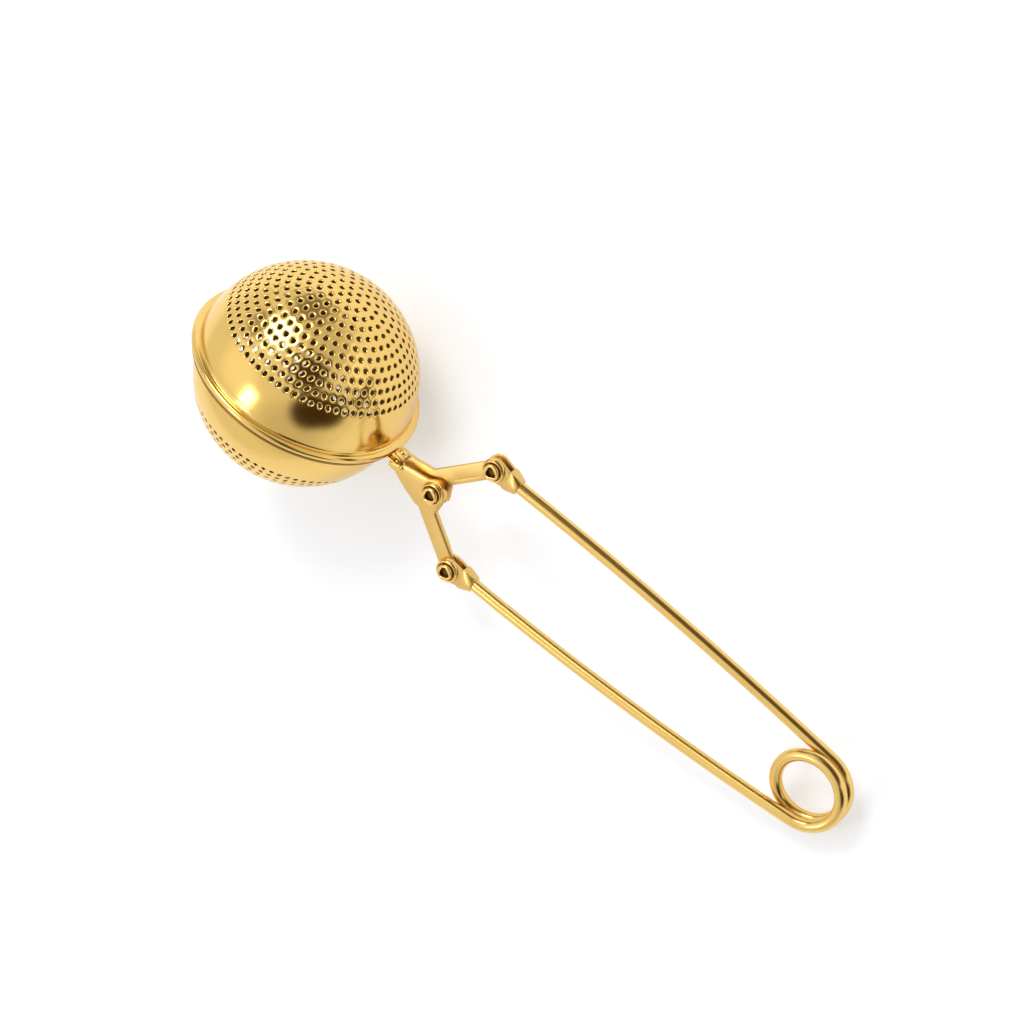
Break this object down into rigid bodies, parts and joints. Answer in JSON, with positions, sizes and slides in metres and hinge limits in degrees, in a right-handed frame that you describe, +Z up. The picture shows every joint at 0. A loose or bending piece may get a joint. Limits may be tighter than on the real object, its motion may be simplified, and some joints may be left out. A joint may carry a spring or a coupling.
{
  "type": "tea infuser",
  "caption": "Squeeze-handle tea infuser: a perforated ball in two halves on pivoted arms, opened by pressing a sprung wire handle that ends in a coil.",
  "frame": {"origin": "middle of the footprint, on the surface that the closed infuser lies on", "axes": "+X from the ball along the handle to its coil, +Z up, with the upper bowl leaning towards +Y and up"},
  "size_m": [0.1582, 0.0444, 0.0445],
  "materials": {
    "bowl_gold": "polished plated steel",
    "arm_gold": "satin plated steel",
    "wire_gold": "polished plated spring wire",
    "rivet_gold": "polished plated steel"
  },
  "bodies": {
    "lower_jaw": {"lower_bowl": "bowl_gold", "lower_arm": "arm_gold", "lower_lug_rivet": "rivet_gold", "pivot_rivet": "rivet_gold", "pivot_washer": "rivet_gold"},
    "upper_jaw": {"upper_bowl": "bowl_gold", "upper_arm": "arm_gold", "upper_lug_rivet": "rivet_gold"},
    "lower_leg": {"lower_ferrule": "arm_gold", "lower_link_rivet": "rivet_gold", "lower_leg_wire": "wire_gold", "handle_coil": "wire_gold"},
    "upper_leg": {"upper_ferrule": "arm_gold", "upper_link_rivet": "rivet_gold", "upper_leg_wire": "wire_gold"}
  },
  "joints": [
    {"name": "jaw_hinge", "type": "hinge", "parent": "lower_jaw", "child": "upper_jaw", "pos_m": [-0.02036, -0.0003, 0.01684], "axis": [-0.1325, 0.3945, -0.9093], "range_deg": [0, 48], "stiffness_Nm_per_rad": 0.12, "springref_deg": -34.38},
    {"name": "lower_link", "type": "hinge", "parent": "lower_jaw", "child": "lower_leg", "pos_m": [-0.01018, -0.01065, 0.01086], "axis": [-0.1325, 0.3945, -0.9093], "range_deg": [0, 29.93]},
    {"name": "coil_flex", "type": "hinge", "parent": "lower_leg", "child": "upper_leg", "pos_m": [0.07064, 0.00535, 0.00603], "axis": [-0.1325, 0.3945, -0.9093], "range_deg": [-7.1, 0.5], "deforming": ["handle_coil"]}
  ],
  "couplings": [
    {"joint": "lower_link", "follows": "jaw_hinge", "ratio": 0.6131},
    {"joint": "coil_flex", "follows": "jaw_hinge", "ratio": -0.1376}
  ]
}
